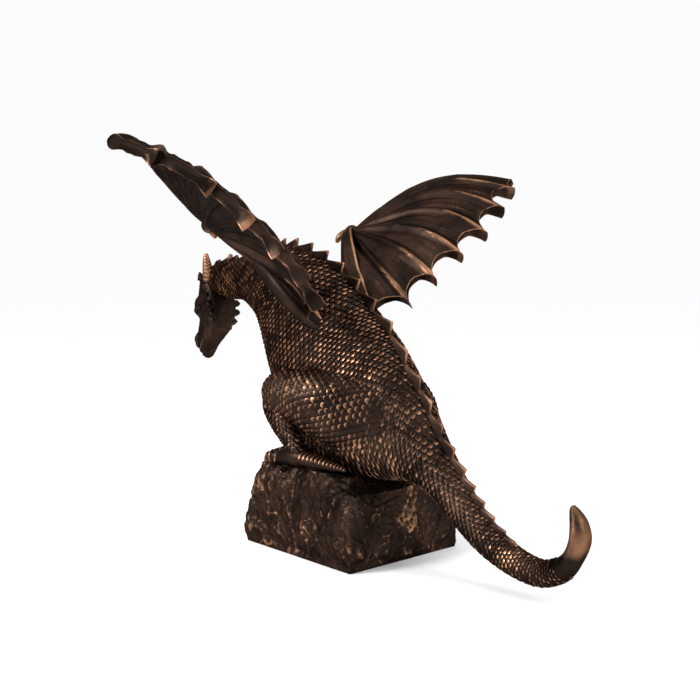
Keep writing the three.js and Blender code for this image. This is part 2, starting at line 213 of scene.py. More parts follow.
TRUNK = np.array([
    # y, z, half width, height above towards the spine, depth below, all in mm
    (-188, 208, 9, 10, 9),
    (-172, 206, 12.5, 13.5, 13),
    (-152, 204.5, 15, 17, 16.5),
    (-131, 204.5, 16.5, 18, 17.5),
    (-108, 201, 19.5, 29, 22),
    (-84, 191, 23, 45, 28),
    (-60, 173, 30, 57, 37),
    (-36, 150, 36, 63, 47),
    (-12, 127, 40, 64, 56),
    (14, 108, 41, 61, 54),
    (38, 96, 38, 52, 46),
    (60, 88, 31, 38, 32),
    (80, 79, 23, 21, 21),
    (96, 68, 16, 14.5, 15),
    (110, 55, 12.5, 12, 12),
    (124, 42, 11.5, 11, 11),
    (138, 31.5, 10.5, 10.3, 10.3),
    (153, 24, 9.8, 9.6, 9.6),
    (169, 19, 9, 9, 9),
    (184, 18, 8.5, 8.5, 8.5),
    (197, 23.5, 8.5, 8, 8),
    (205, 33, 9, 6, 6.5),
    (209, 44, 9.2, 5, 7),
    (208.5, 54, 7.5, 4.4, 6),
    (206, 61, 4.6, 3.4, 4),
    (204, 66, 1.6, 1.4, 1.6),
])
BACK_NARROWING = 0.18
THIGH = np.array([
    # x, y, z, half width, half height, from the hip to the knee
    (10, 76, 92, 8, 12),
    (15, 63, 95, 12, 18),
    (23, 46, 101, 16, 25),
    (31, 26, 107, 18.5, 27),
    (37, 6, 113.5, 18, 24),
    (40, -16, 117, 15.5, 19.5),
    (41.5, -35, 118, 12.5, 15.5),
    (41.5, -51, 116, 8, 9.5),
])
SHIN = np.array([
    (41.5, -43, 117, 8, 9),
    (42, -38, 107, 9.5, 11),
    (42, -28, 95, 9.5, 10.5),
    (41, -19, 84, 8.5, 9),
    (41, -13, 75, 8, 8.5),
    (41, -11, 69, 7, 7),
])


def through_rows(rows):
    """A smooth run through rows of numbers, as a function of a share of 0 to 1."""
    rows = np.asarray(rows, dtype=float)

    def at(share):
        place = np.clip(share, 0, 1) * (len(rows) - 1)
        step = np.minimum(place.astype(int), len(rows) - 2)
        t = (place - step)[:, None]
        one, two = rows[step], rows[step + 1]
        before = np.where(step[:, None] > 0, rows[np.maximum(step - 1, 0)], 2 * one - two)
        after = np.where(step[:, None] + 2 < len(rows), rows[np.minimum(step + 2, len(rows) - 1)], 2 * two - one)
        slope_one, slope_two = (two - before) / 2, (after - one) / 2
        bend = 2 * one - 2 * two + slope_one + slope_two
        return ((bend * t - (3 * one - 3 * two + 2 * slope_one + slope_two)) * t + slope_one) * t + one

    return at


def end_rounding(u, end_round):
    near = np.clip(np.minimum(u, 1 - u) / end_round, 0, 1)
    return np.sqrt(np.maximum(0, 1 - (1 - near) ** 2))


def middle_form(rows, narrowing, end_round, squareness=1.0):
    """A form swept in the middle plane; v runs once round it from the middle of its back."""
    row = through_rows(rows)

    def surface(u, v, grow=0.0):
        y, z, wide, above, below = row(u).T
        ahead, behind = row(np.minimum(u + 0.004, 1)), row(np.maximum(u - 0.004, 0))
        run = ahead[:, :2] - behind[:, :2]
        run /= np.linalg.norm(run, axis=1)[:, None]
        near = end_rounding(u, end_round)
        up, side = np.cos(2 * np.pi * v), np.sin(2 * np.pi * v)
        up, side = np.sign(up) * np.abs(up) ** squareness, np.sign(side) * np.abs(side) ** squareness
        reach = (np.where(up > 0, above, below) * near + grow) * up
        x = (wide * near * (1 - narrowing * up) + grow) * side
        return np.stack([x, y - run[:, 1] * reach, z + run[:, 0] * reach], axis=1)

    return surface


def limb_form(rows, end_round=0.06):
    """A form swept along any line; the width lies as near to the X axis as it can, and v = 0.25 is +X."""
    row = through_rows(rows)

    def surface(u, v, grow=0.0):
        place = row(u)
        along = row(np.minimum(u + 0.01, 1))[:, :3] - row(np.maximum(u - 0.01, 0))[:, :3]
        along /= np.linalg.norm(along, axis=1)[:, None]
        across = np.array([[1.0, 0.0, 0.0]]) - along * along[:, :1]
        across /= np.linalg.norm(across, axis=1)[:, None]
        top = np.cross(along, across)
        near = end_rounding(u, end_round)[:, None]
        side, up = np.sin(2 * np.pi * v)[:, None], np.cos(2 * np.pi * v)[:, None]
        return place[:, :3] + across * (place[:, 3:4] * near + grow) * side + top * (place[:, 4:5] * near + grow) * up

    return surface


def skin(surface, rings, sides, mirrored=False):
    """A flat grid laid over a form and closed along its seam and at its ends."""
    form = bmesh.new()
    bmesh.ops.create_grid(form, x_segments=rings, y_segments=sides, size=1.0)
    flat = np.array([v.co[:2] for v in form.verts]) / 2 + 0.5
    laid = surface(flat[:, 0], flat[:, 1]) * MM
    if mirrored:
        laid[:, 0] *= -1
    for vert, spot in zip(form.verts, laid):
        vert.co = spot
    bmesh.ops.remove_doubles(form, verts=form.verts, dist=2e-6)
    bmesh.ops.recalc_face_normals(form, faces=form.faces)
    return form


def fused(forms, voxel, smoothing):
    """Runs closed forms together into one smooth skin, as a mesh."""
    mesh = bpy.data.meshes.new("fused")
    whole = bmesh.new()
    for form in forms:
        part = bpy.data.meshes.new("part")
        form.to_mesh(part)
        whole.from_mesh(part)
        bpy.data.meshes.remove(part)
        form.free()
    whole.to_mesh(mesh)
    whole.free()
    clay = bpy.data.objects.new("clay", mesh)
    bpy.context.collection.objects.link(clay)
    remesh = clay.modifiers.new("run together", "REMESH")
    remesh.mode = "VOXEL"
    remesh.voxel_size = voxel * MM
    smooth = clay.modifiers.new("smooth", "SMOOTH")
    smooth.factor = 0.5
    smooth.iterations = smoothing
    bpy.context.view_layer.update()
    made = bpy.data.meshes.new_from_object(clay.evaluated_get(bpy.context.evaluated_depsgraph_get()))
    bpy.data.objects.remove(clay)
    return made


trunk_surface = middle_form(TRUNK, BACK_NARROWING, 0.012)
thigh_surface = limb_form(THIGH, 0.1)
shin_surface = limb_form(SHIN, 0.1)
body_mesh = fused(
    [skin(trunk_surface, 300, 96)]
    + [skin(thigh_surface, 90, 64, mirrored=side) for side in (False, True)]
    + [skin(shin_surface, 60, 40, mirrored=side) for side in (False, True)],
    voxel=1.6,
    smoothing=3,
)
body_spots = np.array([v.co[:] for v in body_mesh.vertices]) / MM
set_rub(body_mesh, np.where(body_spots[:, 1] > 190, np.clip((body_spots[:, 2] - 24) / 22, 0, 0.68), 0))
body_tree = BVHTree.FromPolygons(
    [v.co[:] for v in body_mesh.vertices], [p.vertices[:] for p in body_mesh.polygons]
)
piece("body_ground", body_mesh, hide_bronze, "dragon", sharp=180)


# ---- Scales ----
# Rounded overlapping scales laid row by row from the crest down both flanks, each domed with a proud
# free edge towards the tail; on the legs they run from hip to knee and from knee to ankle.

def scale_tile(columns, lift, dome, tail):
    """One scale: across and along in shares of its width and row, its height in shares of its width."""
    form = bmesh.new()
    bmesh.ops.create_grid(form, x_segments=columns, y_segments=4, size=1.0)
    mesh = bpy.data.meshes.new("scale_tile")
    form.to_mesh(mesh)
    form.free()
    flat = np.array([v.co[:2] for v in mesh.vertices])
    a, row = flat[:, 0], np.round((flat[:, 1] + 1) * 2).astype(int)
    rounding = np.sqrt(np.maximum(0, 1 - np.abs(a) ** 2.2))
    along = np.choose(row, [-0.15 + 0 * a, 0.35 + 0.1 * rounding, 0.62 + 0.45 * rounding, 0.72 + tail * rounding, 0.7 + tail * rounding])
    across = 0.5 * a * np.choose(row, [0.94, 1.04, 1.0, 0.93, 0.9])
    height = np.choose(row, [-0.07, 0.02, lift * 0.75, lift, -0.05]) + dome * (1 - a**2) * np.choose(row, [0.0, 0.8, 1.0, 0.75, 0.0])
    height -= 0.05 * np.abs(a) ** 3
    rub = np.choose(row, [0.0, 0.18, 0.55, 1.0, 0.15]) * (0.55 + 0.45 * rounding)
    return mesh, np.stack([across, along, height, rub], axis=1)


def arc_tables(surface, v_start, samples=260, around=160):
    """How far round the form each v lies from the starting line, at many shares of its length."""
    shares = np.linspace(0, 1, samples)
    turns = np.linspace(-0.5, 0.5, around + 1)
    uu, vv = np.meshgrid(shares, turns + v_start, indexing="ij")
    points = surface(uu.ravel(), vv.ravel()).reshape(samples, around + 1, 3)
    steps = np.linalg.norm(np.diff(points, axis=1), axis=2)
    arcs = np.concatenate([np.zeros((samples, 1)), np.cumsum(steps, axis=1)], axis=1)
    arcs -= arcs[:, around // 2][:, None]
    length = np.linalg.norm(np.diff(points, axis=0), axis=2)
    return shares, turns, arcs, length


def turn_at(tables, u, distance):
    """The v, counted from the starting line, that lies a distance round the form."""
    shares, turns, arcs, _ = tables
    place = np.clip(u, 0, 1) * (len(shares) - 1)
    low = np.minimum(place.astype(int), len(shares) - 2)
    part = place - low
    found = np.zeros(len(u))
    for step in np.unique(low):
        here = low == step
        one = np.interp(distance[here], arcs[step], turns)
        two = np.interp(distance[here], arcs[step + 1], turns)
        found[here] = one + (two - one) * part[here]
    return found


def scale_rows(tables, u_from, u_to, pitch, lean=0):
    """The shares at which rows of scales start, a given pitch apart on the flank."""
    shares, turns, _, length = tables
    side = length[:, int(len(turns) * 0.25)] * 0.5 + length[:, int(len(turns) * 0.75)] * 0.5
    run = np.concatenate([[0], np.cumsum(side)])
    rows, u = [], u_from
    while u < u_to:
        rows.append(u)
        here = np.interp(u, shares, run)
        u = float(np.interp(here + pitch(u), run, shares))
        if here + pitch(rows[-1]) >= run[-1]:
            break
    rows.append(min(u, 1.0))
    return np.array(rows)


def lay_scales(name, surface, v_start, rows, tile, tile_shape, widths, reach, material, mirrored=False,
               keep_within=3.4, only_middle=False, seed=3, lift_by=None):
    """Lays a tile along rows round a form and sinks it into the body's skin."""
    tables = arc_tables(surface, v_start)
    mesh_tile, shape = tile_shape
    chance = np.random.default_rng(seed)
    starts, ends, spots, sizes = [], [], [], []
    for number, (u, u_next) in enumerate(zip(rows[:-1], rows[1:])):
        width = widths(u)
        limit = reach(tables, u)
        if only_middle:
            row_spots = np.array([0.0])
        else:
            count = int(limit / width) + 1
            row_spots = (np.arange(-count, count + 1) + 0.5 * (number % 2)) * width
            row_spots = row_spots[np.abs(row_spots) <= limit]
        starts += [u] * len(row_spots)
        ends += [u_next] * len(row_spots)
        spots += list(row_spots)
        sizes += [width] * len(row_spots)
    starts, ends, spots, sizes = map(np.array, (starts, ends, spots, sizes))
    centre = surface(starts * 0.5 + ends * 0.5, v_start + turn_at(tables, starts * 0.5 + ends * 0.5, spots)) * MM
    if mirrored:
        centre[:, 0] *= -1
    if keep_within:
        keep = np.array([body_tree.find_nearest(c)[3] < keep_within * MM for c in centre])
        starts, ends, spots, sizes = starts[keep], ends[keep], spots[keep], sizes[keep]
    count = len(starts)
    jitter = chance.normal(0, 1, (count, 3))
    across, along, height, rub = [shape[:, k][None, :] for k in range(4)]
    across = across * (1 + 0.03 * jitter[:, :1])
    size = sizes[:, None]
    u = starts[:, None] + along * (ends - starts)[:, None]
    distance = spots[:, None] + across * size
    u, distance = u.ravel(), distance.ravel()
    v = v_start + turn_at(tables, u, distance)
    ground = surface(u, v)
    proud = surface(u, v, grow=0.5)
    out = proud - ground
    out /= np.linalg.norm(out, axis=1)[:, None]
    if mirrored:
        ground[:, 0] *= -1
        out[:, 0] *= -1
    if keep_within:
        ground = np.array([body_tree.find_nearest(g)[0][:] for g in ground * MM]) / MM
    lifted = (height + 0.012 * jitter[:, 1:2]) * size
    laid = ground + out * lifted.reshape(-1, 1)
    holder = bpy.data.objects.new("row", mesh_tile)
    bpy.context.collection.objects.link(holder)
    copies = holder.modifiers.new("rows", "ARRAY")
    copies.count = count
    copies.use_relative_offset = False
    copies.use_constant_offset = True
    copies.constant_offset_displace = (0.01, 0.0, 0.0)
    bpy.context.view_layer.update()
    made = bpy.data.meshes.new_from_object(holder.evaluated_get(bpy.context.evaluated_depsgraph_get()))
    bpy.data.objects.remove(holder)
    made.vertices.foreach_set("co", (laid * MM).astype(np.float32).ravel())
    if mirrored:
        made.flip_normals()
    set_rub(made, (rub * (0.8 + 0.2 * jitter[:, 2:3])).ravel())
    made.update()
    return piece(name, made, material, "dragon", sharp=45)


def blend_between(u, stops):
    return float(np.interp(u, [s[0] for s in stops], [s[1] for s in stops]))


TRUNK_WIDTHS = [(0.0, 3.6), (0.12, 3.9), (0.2, 4.6), (0.27, 5.3), (0.42, 5.4), (0.5, 4.8), (0.58, 3.9), (0.7, 3.4), (0.82, 2.9)]
BELLY_BAND = [(0.0, 7.0), (0.12, 8.0), (0.28, 17.0), (0.4, 20.0), (0.5, 9.0), (0.6, 5.0), (0.85, 3.6)]
SCALES_FROM = 0.015
SCALES_TO = 0.8


def trunk_width(u):
    return blend_between(u, TRUNK_WIDTHS)


def trunk_reach(tables, u):
    half_round = float(np.interp(u, tables[0], tables[2][:, -1]))
    return half_round - blend_between(u, BELLY_BAND) * 0.9


trunk_tables = arc_tables(trunk_surface, 0.0)
trunk_rows = scale_rows(trunk_tables, SCALES_FROM, SCALES_TO, lambda u: trunk_width(u) * 0.78)
body_tile = scale_tile(4, lift=0.13, dome=0.13, tail=0.68)
lay_scales("body_scales", trunk_surface, 0.0, trunk_rows, None, body_tile, trunk_width, trunk_reach, hide_bronze)

scute_tile = scale_tile(12, lift=0.03, dome=0.0, tail=0.5)
scute_rows = scale_rows(trunk_tables, 0.05, SCALES_TO, lambda u: 2.6 + trunk_width(u) * 0.5)
lay_scales(
    "belly_scutes", trunk_surface, 0.5, scute_rows, None, scute_tile,
    lambda u: 2 * blend_between(u, BELLY_BAND), lambda tables, u: 0.0, hide_bronze, only_middle=True,
)

all_round = lambda tables, u: float(np.interp(u, tables[0], tables[2][:, -1])) - 1.5
thigh_tables = arc_tables(thigh_surface, 0.25)
thigh_rows = scale_rows(thigh_tables, 0.03, 0.97, lambda u: 4.1)
shin_tables = arc_tables(shin_surface, 0.25)
shin_rows = scale_rows(shin_tables, 0.06, 0.9, lambda u: 3.1)
for side, mirrored in (("left", False), ("right", True)):
    lay_scales(side + "_thigh_scales", thigh_surface, 0.25, thigh_rows, None, body_tile, lambda u: 5.2,
               all_round, hide_bronze, mirrored=mirrored, keep_within=4.6, seed=5)
    lay_scales(side + "_shin_scales", shin_surface, 0.25, shin_rows, None, body_tile, lambda u: 4.0,
               all_round, hide_bronze, mirrored=mirrored, seed=7)


# ---- Crest ----
# One thin blade cast along the spine and cut into backward-leaning teeth: low bumps on the neck, tall
# hooked teeth over the shoulders, a wavy edge down the back. Its edge is the most rubbed part of all.

CREST_FROM, CREST_TO = 0.008, 0.7
CREST_HEIGHTS = [(0.0, 3.8), (0.14, 5.5), (0.18, 8.5), (0.3, 10.0), (0.48, 9.2), (0.6, 6.4), (0.7, 2.4)]
TOOTH_PITCHES = [(0, 14), (100, 13), (125, 18), (190, 22), (260, 27), (310, 19), (350, 17), (380, 13), (430, 12)]
TOOTH_HOOKS = [(0.0, 0.45), (0.15, 0.8), (0.3, 0.85), (0.42, 0.7), (0.6, 0.6)]  # share of the height cut away
CREST_HALF_BASE, CREST_HALF_EDGE = 2.9, 0.8

spine_shares = np.linspace(0, 1, 2001)
spine_points = trunk_surface(spine_shares, 0 * spine_shares)
spine_run = np.concatenate([[0], np.cumsum(np.linalg.norm(np.diff(spine_points, axis=0), axis=1))])
tooth_tips = [5.0]
while tooth_tips[-1] < spine_run[int(CREST_TO * 2000)] + 20:
    tooth_tips.append(tooth_tips[-1] + blend_between(tooth_tips[-1], TOOTH_PITCHES))
tooth_tips = np.array([-12.0] + tooth_tips)


def crest_surface(share, across):
    """The blade; across runs from -1 at its left foot over its edge at 0 to 1 at its right foot."""
    u = CREST_FROM + (CREST_TO - CREST_FROM) * share
    run = np.interp(u, spine_shares, spine_run)
    tooth = np.searchsorted(tooth_tips, run, side="right") - 1
    through = (run - tooth_tips[tooth]) / (tooth_tips[tooth + 1] - tooth_tips[tooth])
    fall = np.clip(through / 0.16, 0, 1)
    rise = np.clip((through - 0.16) / 0.84, 0, 1)
    profile = np.where(through < 0.16, 1 - fall * fall * (3 - 2 * fall), rise**1.25)
    hook = np.interp(u, *zip(*TOOTH_HOOKS))
    tall = np.interp(u, *zip(*CREST_HEIGHTS)) * (1 - hook * (1 - profile))
    tall *= np.clip(share / 0.01, 0, 1) * np.clip((1 - share) / 0.02, 0, 1)
    foot = np.abs(across)
    side = (CREST_HALF_EDGE + (CREST_HALF_BASE - CREST_HALF_EDGE) * foot**1.3) * np.sqrt(np.clip(foot / 0.14, 0, 1))
    side *= 0.9 + 0.25 * profile * (1 - foot)
    height = -3.0 + (tall + 3.0) * (1 - foot**1.6)
    y, z, _, above, _ = trunk_row(u).T
    ahead, behind = trunk_row(u + 0.004), trunk_row(u - 0.004)
    line = ahead[:, :2] - behind[:, :2]
    line /= np.linalg.norm(line, axis=1)[:, None]
    place = np.stack([np.sign(across) * side, y - line[:, 1] * (above + height), z + line[:, 0] * (above + height)], axis=1)
    return place, np.clip(1 - foot * 1.7, 0, 1) * (0.6 + 0.4 * profile)


trunk_row = through_rows(TRUNK)
crest_form = bmesh.new()
bmesh.ops.create_grid(crest_form, x_segments=900, y_segments=14, size=1.0)
crest_mesh = bpy.data.meshes.new("crest")
crest_form.to_mesh(crest_mesh)
crest_form.free()
flat = np.array([v.co[:2] for v in crest_mesh.vertices])
crest_place, crest_rub = crest_surface(flat[:, 0] / 2 + 0.5, flat[:, 1])
crest_mesh.vertices.foreach_set("co", (crest_place * MM).astype(np.float32).ravel())
set_rub(crest_mesh, crest_rub)
crest_mesh.update()
piece("crest", crest_mesh, hide_bronze, "dragon", sharp=50)


# ---- Wings ----
# Each wing is a thick cast fan from the wrist: eight rounded fingers with the hide sagging between them,
# fine ribs across it towards the scalloped trailing edge, whose broad faces are hollow with rubbed rims.

WRIST = np.array([74.0, -80.0, 246.0])
WING_FACE = np.array([-0.481, 0.293, 0.826])
WING_FACE /= np.linalg.norm(WING_FACE)
FINGERS = np.array([
    # x, y, z of the tip, sweep forward of the chord, arch above it, in mm, from the leading edge to the root
    (200, -3, 290, 24, 12),
    (177, 15, 279, 24, 12),
    (145, 30, 260, 23, 12),
    (119, 34, 239, 15, 13),
    (93, 31, 221, 6, 12),
    (67, 27, 202, 1, 10),
    (47, 19, 184, -4, 7),
    (28, -3, 170, -11, 5),
])
SCALLOPS = np.array([0.035, 0.1, 0.1, 0.11, 0.12, 0.12, 0.12])
HALF_PLATE = 3.2
EDGE_THICKENING = 0.9
WING_COLUMNS = 18  # between two fingers
DORSAL_ROWS, EDGE_ROWS, VENTRAL_ROWS = 260, 12, 90


def smooth_step(low, high, value):
    t = np.clip((value - low) / (high - low), 0, 1)
    return t * t * (3 - 2 * t)


def finger_points(finger, reach):
    chord = FINGERS[finger, :3] - WRIST
    forward = np.cross(chord, WING_FACE)
    forward /= np.linalg.norm(forward, axis=1)[:, None]
    reach = reach[:, None]
    sweep = forward * FINGERS[finger, 3:4] * np.sin(np.pi * reach)
    return WRIST + chord * reach + sweep + WING_FACE * FINGERS[finger, 4:5] * np.sin(np.pi * reach**1.4)


def wing_points(column, reach, scalloped=1.0):
    panel = np.clip(column.astype(int), 0, 6)
    between = column - panel
    cut = 1 - scalloped * SCALLOPS[panel] * np.sqrt(np.clip(4 * between * (1 - between), 0, 1))
    one, two = finger_points(panel, reach * cut), finger_points(panel + 1, reach * cut)
    return one + (two - one) * between[:, None]


def wing_surface(column, reach, side, edge):
    """A spot on the wing's skin; side is 1 above and -1 below, and edge runs between them over its end."""
    middle = wing_points(column, reach)
    along = wing_points(column, np.minimum(reach + 0.01, 1.0), 0.0) - wing_points(column, np.maximum(reach - 0.03, 0.001), 0.0)
    across = wing_points(np.minimum(column + 0.4, 7), reach, 0.0) - wing_points(np.maximum(column - 0.4, 0), reach, 0.0)
    out = np.cross(along, across)
    out /= np.linalg.norm(out, axis=1)[:, None]
    out *= np.sign(out @ WING_FACE)[:, None]
    along /= np.linalg.norm(along, axis=1)[:, None]
    panel = np.clip(column.astype(int), 0, 6)
    between = column - panel
    gap = np.linalg.norm(finger_points(panel, reach) - finger_points(panel + 1, reach), axis=1)
    length = np.linalg.norm(middle - WRIST, axis=1)
    full = np.linalg.norm(wing_points(column, 0 * reach + 1) - WRIST, axis=1)
    near_finger = np.minimum(between, 1 - between) * gap
    leading = 1 - smooth_step(0.0, 0.45, column)
    wide = 1.5 + 1.9 * reach + 2.2 * leading
    joints = np.exp(-(((reach - 0.42) / 0.03) ** 2)) + np.exp(-(((reach - 0.72) / 0.025) ** 2))
    rib = np.exp(-((near_finger / wide) ** 2))
    room = smooth_step(2.0, 7.0, gap / 2 - 3 * wide)
    relief = (1.9 + 0.5 * leading + 0.5 * joints) * rib * smooth_step(0.02, 0.2, reach)
    relief -= 0.9 * np.exp(-(((near_finger - 2.3 * wide) / (0.8 * wide)) ** 2)) * smooth_step(0, 4, gap / 2 - 2 * wide)
    relief += 0.55 * np.exp(-(((near_finger - 3.5 * wide) / (0.45 * wide)) ** 2)) * room
    relief -= 0.5 * np.sin(np.pi * between) ** 2 * smooth_step(4, 20, gap)
    panel_middle = smooth_step(0.1, 0.3, between) * smooth_step(0.9, 0.7, between)
    bars = np.cos(2 * np.pi * (full - length) / 1.9)
    bars_here = panel_middle * smooth_step(34.0, 20.0, full - length) * smooth_step(1.5, 3.5, full - length)
    relief += np.where(side > 0, 0.2, 0.1) * bars * bars_here
    rim = np.exp(-(((full - length) / 1.0) ** 2))
    relief += 0.35 * rim
    trailing = np.sqrt(np.clip(4 * between * (1 - between), 0, 1))
    thick = HALF_PLATE + EDGE_THICKENING * smooth_step(0.7, 1, reach) * (0.4 + 0.6 * trailing)
    lead_gap = column * gap + 0.001
    root_gap = (7 - column) * gap + 0.001
    round_off = np.sqrt(1 - (1 - np.clip(lead_gap / 5.5, 0, 1)) ** 2) * np.sqrt(1 - (1 - np.clip(root_gap / 3.5, 0, 1)) ** 2)
    high = (thick + relief) * round_off
    knuckle = np.exp(-((near_finger / 3.4) ** 2)) * smooth_step(0.0, 0.15, column)
    bulge = np.where(edge, (1 - side**2) * (1.3 * knuckle - 2.0 * (1 - knuckle)), 0.0)
    place = middle + out * (side * high)[:, None] + along * bulge[:, None]
    rub = 0.75 * rib * smooth_step(0.35, 0.85, reach) + 0.3 * bars_here * (bars + 0.2) + 0.12
    rub += 0.35 * np.exp(-(((near_finger - 3.5 * wide) / (0.5 * wide)) ** 2)) * room * smooth_step(0.3, 0.7, reach)
    rub = np.maximum(rub * 0.8, rim * 0.8)
    rub = np.where(edge, np.maximum(0.8 * np.abs(side) ** 8, 0.5 * knuckle), rub)
    return place, np.clip(rub, 0, 1)


def wing_mesh():
    rows = DORSAL_ROWS + EDGE_ROWS + VENTRAL_ROWS
    form = bmesh.new()
    bmesh.ops.create_grid(form, x_segments=7 * WING_COLUMNS, y_segments=rows, size=1.0)
    mesh = bpy.data.meshes.new("wing")
    form.to_mesh(mesh)
    form.free()
    flat = np.array([v.co[:2] for v in mesh.vertices]) / 2 + 0.5
    place = flat[:, 0] * 7
    inside = place - np.floor(place)
    column = np.clip(place - 0.1 * np.sin(2 * np.pi * inside), 0, 7)
    row = np.round(flat[:, 1] * rows)
    upper = np.clip(row / DORSAL_ROWS, 0, 1)
    lower = np.clip((rows - row) / VENTRAL_ROWS, 0, 1)
    reach = np.where(row <= DORSAL_ROWS, np.interp(upper, [0, 0.22, 1], [0.01, 0.5, 1]), 1.0)
    reach = np.where(row > DORSAL_ROWS + EDGE_ROWS, np.interp(lower, [0, 0.4, 1], [0.01, 0.5, 1]), reach)
    side = np.clip(1 - 2 * (row - DORSAL_ROWS) / EDGE_ROWS, -1, 1)
    edge = (row > DORSAL_ROWS) & (row < DORSAL_ROWS + EDGE_ROWS)
    spots, rub = wing_surface(column, reach, side, edge)
    mesh.vertices.foreach_set("co", (spots * MM).astype(np.float32).ravel())
    set_rub(mesh, rub)
    mesh.update()
    return mesh


def mirrored_copy(mesh):
    copy = mesh.copy()
    spots = np.empty(len(copy.vertices) * 3, dtype=np.float32)
    copy.vertices.foreach_get("co", spots)
    spots[0::3] *= -1
    copy.vertices.foreach_set("co", spots)
    copy.flip_normals()
    copy.update()
    return copy


left_wing_mesh = wing_mesh()
piece("left_wing", left_wing_mesh, hide_bronze, "dragon", sharp=60)
piece("right_wing", mirrored_copy(left_wing_mesh), hide_bronze, "dragon", sharp=60)


# ---- Wing arms ----
# From the shoulder to the wrist each wing is carried by a leaf-shaped arm with a ridge down its middle;
# a hooked thumb claw grows from the wrist.

ARM = np.array([
    (75, -81, 246, 4.5, 5),
    (60, -70, 241, 5, 5.5),
    (49, -57, 228, 6, 7),
    (42, -45, 209, 7, 9),
    (36, -28, 191, 8, 9),
    (28, -13, 175, 7, 7),
    (20, -4, 164, 4, 4),
])
THUMB = np.array([
    (76, -80, 246, 4.5, 4.5),
    (70, -84, 244.5, 4, 4),
    (65.5, -87, 241, 3.2, 3.2),
    (63, -88, 236.5, 1.2, 1.2),
])


def limb_mesh(name, rows, rings, sides, end_round, grow=None, rub=None):
    """A limb as a mesh; grow and rub are functions of the share along it and the turn round it."""
    form = bmesh.new()
    bmesh.ops.create_grid(form, x_segments=rings, y_segments=sides, size=1.0)
    flat = np.array([v.co[:2] for v in form.verts]) / 2 + 0.5
    u, v = flat[:, 0], flat[:, 1]
    spots = limb_form(rows, end_round)(u, v, 0.0 if grow is None else grow(u, v)[:, None]) * MM
    worn = form.verts.layers.float.new("rub")
    for vert, spot, value in zip(form.verts, spots, np.full(len(u), 0.3) if rub is None else rub(u, v)):
        vert.co = spot
        vert[worn] = value
    bmesh.ops.remove_doubles(form, verts=form.verts, dist=2e-6)
    bmesh.ops.recalc_face_normals(form, faces=form.faces)
    mesh = bpy.data.meshes.new(name)
    form.to_mesh(mesh)
    form.free()
    return mesh


def joined(name, meshes):
    whole = bmesh.new()
    for mesh in meshes:
        whole.from_mesh(mesh)
        bpy.data.meshes.remove(mesh)
    together = bpy.data.meshes.new(name)
    whole.to_mesh(together)
    whole.free()
    return together


def arm_ridge(u, v):
    ends = np.clip(np.minimum(u, 1 - u) / 0.12, 0, 1)
    return np.exp(-(((np.abs(v - 0.5)) / 0.045) ** 2)) * ends


arm_mesh = limb_mesh(
    "arm", ARM, 120, 56, 0.06,
    grow=lambda u, v: 1.5 * arm_ridge(u, v) - 0.9 * np.exp(-(((np.abs(v - 0.5) - 0.12) / 0.05) ** 2)),
    rub=lambda u, v: 0.12 + 0.85 * arm_ridge(u, v),
)
thumb_mesh = limb_mesh("thumb", THUMB, 40, 28, 0.05, rub=lambda u, v: 0.35 + 0.6 * u)
wrist_form = bmesh.new()
bmesh.ops.create_uvsphere(wrist_form, u_segments=40, v_segments=24, radius=6.2 * MM)
bmesh.ops.translate(wrist_form, verts=wrist_form.verts, vec=Vector(WRIST) * MM)
wrist_mesh = bpy.data.meshes.new("wrist")
wrist_form.to_mesh(wrist_mesh)
wrist_form.free()
set_rub(wrist_mesh, np.full(len(wrist_mesh.vertices), 0.45))
arm_whole = joined("arm", [arm_mesh, thumb_mesh, wrist_mesh])
piece("left_wing_arm", arm_whole, hide_bronze, "dragon", sharp=60)
piece("right_wing_arm", mirrored_copy(arm_whole), hide_bronze, "dragon", sharp=60)


# ---- Head ----
# The head hangs from the neck, chin drawn in: a long snout with swollen nostrils, heavy brows over deep
# eyes, a frill of short spikes round the rear of each cheek. Modelled in one with the skull, then worked over
# with a fine tool for the lips, lids and wrinkles.

SKULL = np.array([
    # y, z, half width, reach to the rear, reach to the front
    (-189, 215, 4, 5, 6),
    (-187, 209, 9.5, 8, 14),
    (-183, 199, 12, 9, 20),
    (-179, 187, 13.5, 10, 27),
    (-177, 176, 13.5, 9.5, 30.5),
    (-178, 166, 12, 9, 31),
    (-182, 158, 10, 6.5, 28),
    (-189, 150, 8, 5.5, 21.5),
    (-193, 144, 7, 4.5, 18.5),
    (-195, 138, 5.5, 4, 12.5),
    (-197, 133, 3, 3, 6),
])
CHEEK_WIDENING = 0.3
HORN = np.array([
    (9, -179.5, 203, 5.5, 6.2),
    (11, -178, 213, 4.6, 4.8),
    (12.5, -177.4, 221.5, 3.4, 3.4),
    (13.3, -177, 228, 1.6, 1.6),
])
BROW = np.array([
    (10.5, -180, 193, 2.2, 2.4),
    (11.5, -190, 186, 3.0, 3.2),
    (9.8, -196.5, 180.5, 3.0, 3.0),
    (7.6, -203, 174, 2.0, 2.2),
])
BROW_SPIKE = np.array([
    (7, -195, 204, 3.2, 3.4),
    (7.6, -195.5, 208, 2.2, 2.4),
    (8, -196, 212, 0.8, 0.8),
])
NOSTRIL = np.array([
    (3.5, -205, 156, 1.8, 2),
    (4.0, -207.2, 148.5, 2.6, 2.5),
    (3.2, -203.5, 141.5, 2.0, 2.0),
])
FRILL_TIPS = np.array([
    (15.5, -178, 199),
    (17.5, -172, 191),
    (18.5, -167, 183),
    (17, -165, 175),
    (14.5, -166, 167),
    (12, -171, 161),
])
FRILL_ROOT = np.array([-9, -11, 0])


def frill_spike(tip):
    tip = tip + FRILL_ROOT * 0.12
    root = tip + FRILL_ROOT * 0.88
    middle = (root + 2 * tip) / 3
    return np.array([(*root, 3.6, 4.4), (*middle, 2.6, 3.4), (*tip, 0.7, 0.9)])


